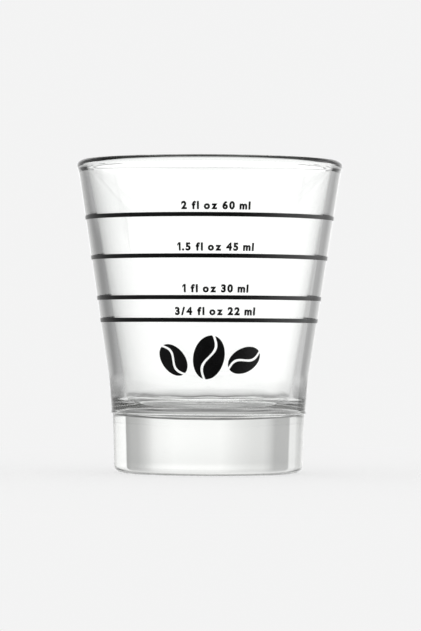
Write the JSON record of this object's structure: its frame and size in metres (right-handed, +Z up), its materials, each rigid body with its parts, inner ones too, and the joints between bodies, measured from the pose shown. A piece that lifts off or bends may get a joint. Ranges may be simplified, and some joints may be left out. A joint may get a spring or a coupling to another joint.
{
  "type": "espresso shot glass",
  "caption": "Thick pressed shot glass with a conical bowl and heavy solid foot, black fired fill lines and volume marks on the front, for measuring and serving espresso.",
  "frame": {"origin": "centre of the ring that the foot stands on", "axes": "+Z up along the glass's axis, the print faces -Y, +X to the right of the print"},
  "size_m": [0.0598, 0.0598, 0.07],
  "materials": {
    "clear_glass": "polished",
    "black_enamel": "satin"
  },
  "bodies": {
    "root": {"bean_left_left_half": "black_enamel", "bean_left_right_half": "black_enamel", "bean_middle_left_half": "black_enamel", "bean_middle_right_half": "black_enamel", "bean_right_left_half": "black_enamel", "bean_right_right_half": "black_enamel", "fill_line_22_ml": "black_enamel", "fill_line_30_ml": "black_enamel", "fill_line_45_ml": "black_enamel", "fill_line_60_ml": "black_enamel", "glass_body": "clear_glass", "mark_22_ml_10_m": "black_enamel", "mark_22_ml_11_l": "black_enamel", "mark_22_ml_1_3": "black_enamel", "mark_22_ml_2_slash": "black_enamel", "mark_22_ml_3_4": "black_enamel", "mark_22_ml_4_f": "black_enamel", "mark_22_ml_5_l": "black_enamel", "mark_22_ml_6_o": "black_enamel", "mark_22_ml_7_z": "black_enamel", "mark_22_ml_8_2": "black_enamel", "mark_22_ml_9_2": "black_enamel", "mark_30_ml_1_1": "black_enamel", "mark_30_ml_2_f": "black_enamel", "mark_30_ml_3_l": "black_enamel", "mark_30_ml_4_o": "black_enamel", "mark_30_ml_5_z": "black_enamel", "mark_30_ml_6_3": "black_enamel", "mark_30_ml_7_0": "black_enamel", "mark_30_ml_8_m": "black_enamel", "mark_30_ml_9_l": "black_enamel", "mark_45_ml_10_m": "black_enamel", "mark_45_ml_11_l": "black_enamel", "mark_45_ml_1_1": "black_enamel", "mark_45_ml_2_point": "black_enamel", "mark_45_ml_3_5": "black_enamel", "mark_45_ml_4_f": "black_enamel", "mark_45_ml_5_l": "black_enamel", "mark_45_ml_6_o": "black_enamel", "mark_45_ml_7_z": "black_enamel", "mark_45_ml_8_4": "black_enamel", "mark_45_ml_9_5": "black_enamel", "mark_60_ml_1_2": "black_enamel", "mark_60_ml_2_f": "black_enamel", "mark_60_ml_3_l": "black_enamel", "mark_60_ml_4_o": "black_enamel", "mark_60_ml_5_z": "black_enamel", "mark_60_ml_6_6": "black_enamel", "mark_60_ml_7_0": "black_enamel", "mark_60_ml_8_m": "black_enamel", "mark_60_ml_9_l": "black_enamel"}
  },
  "joints": []
}
